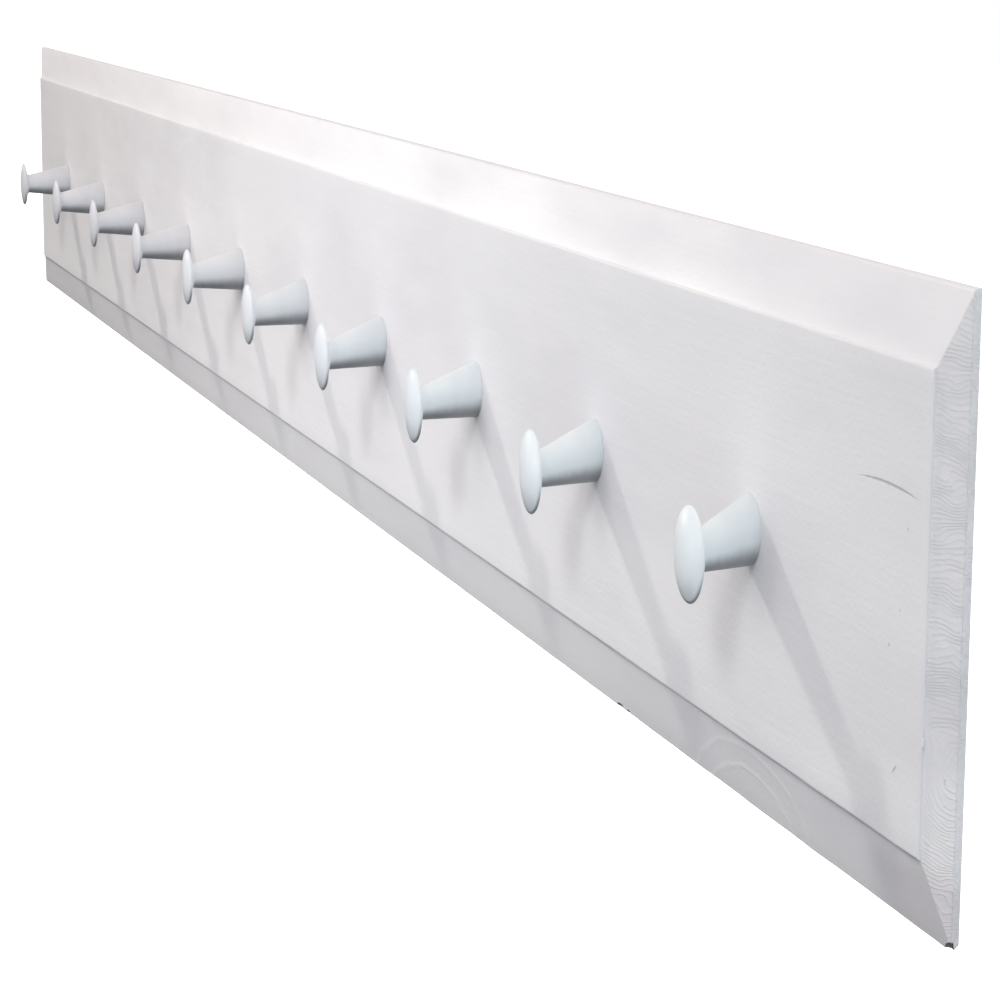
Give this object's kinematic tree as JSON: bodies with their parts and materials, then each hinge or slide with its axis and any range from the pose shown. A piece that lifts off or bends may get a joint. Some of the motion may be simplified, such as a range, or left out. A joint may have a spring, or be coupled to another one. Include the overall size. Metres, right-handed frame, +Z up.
{
  "type": "wall-mounted coat peg rail",
  "caption": "Long white-painted wall board with a raised field and bevelled edges, carrying a row of turned wooden pegs for coats, hats and bags.",
  "frame": {"origin": "centre of the board's back face, level with the row of pegs", "axes": "+X along the rail to the right as seen from the room, +Y into the wall, +Z up; the pegs point along -Y"},
  "size_m": [1.645, 0.0905, 0.15],
  "materials": {
    "board_paint": "softwood under satin white paint, grain and a knot showing through faintly",
    "peg_paint": "turned hardwood under smoother, slightly cooler satin white paint",
    "plate_steel": "zinc-plated pressed steel",
    "screw_steel": "yellow-passivated zinc plate"
  },
  "bodies": {
    "root": {"rail_board": "board_paint", "peg_01": "peg_paint", "peg_02": "peg_paint", "peg_03": "peg_paint", "peg_04": "peg_paint", "peg_05": "peg_paint", "peg_06": "peg_paint", "peg_07": "peg_paint", "peg_08": "peg_paint", "peg_09": "peg_paint", "peg_10": "peg_paint", "hanger_plate_1": "plate_steel", "hanger_plate_2": "plate_steel", "hanger_plate_3": "plate_steel", "plate_screw_1": "screw_steel", "plate_screw_2": "screw_steel", "plate_screw_3": "screw_steel", "plate_screw_4": "screw_steel", "plate_screw_5": "screw_steel", "plate_screw_6": "screw_steel"}
  },
  "joints": []
}
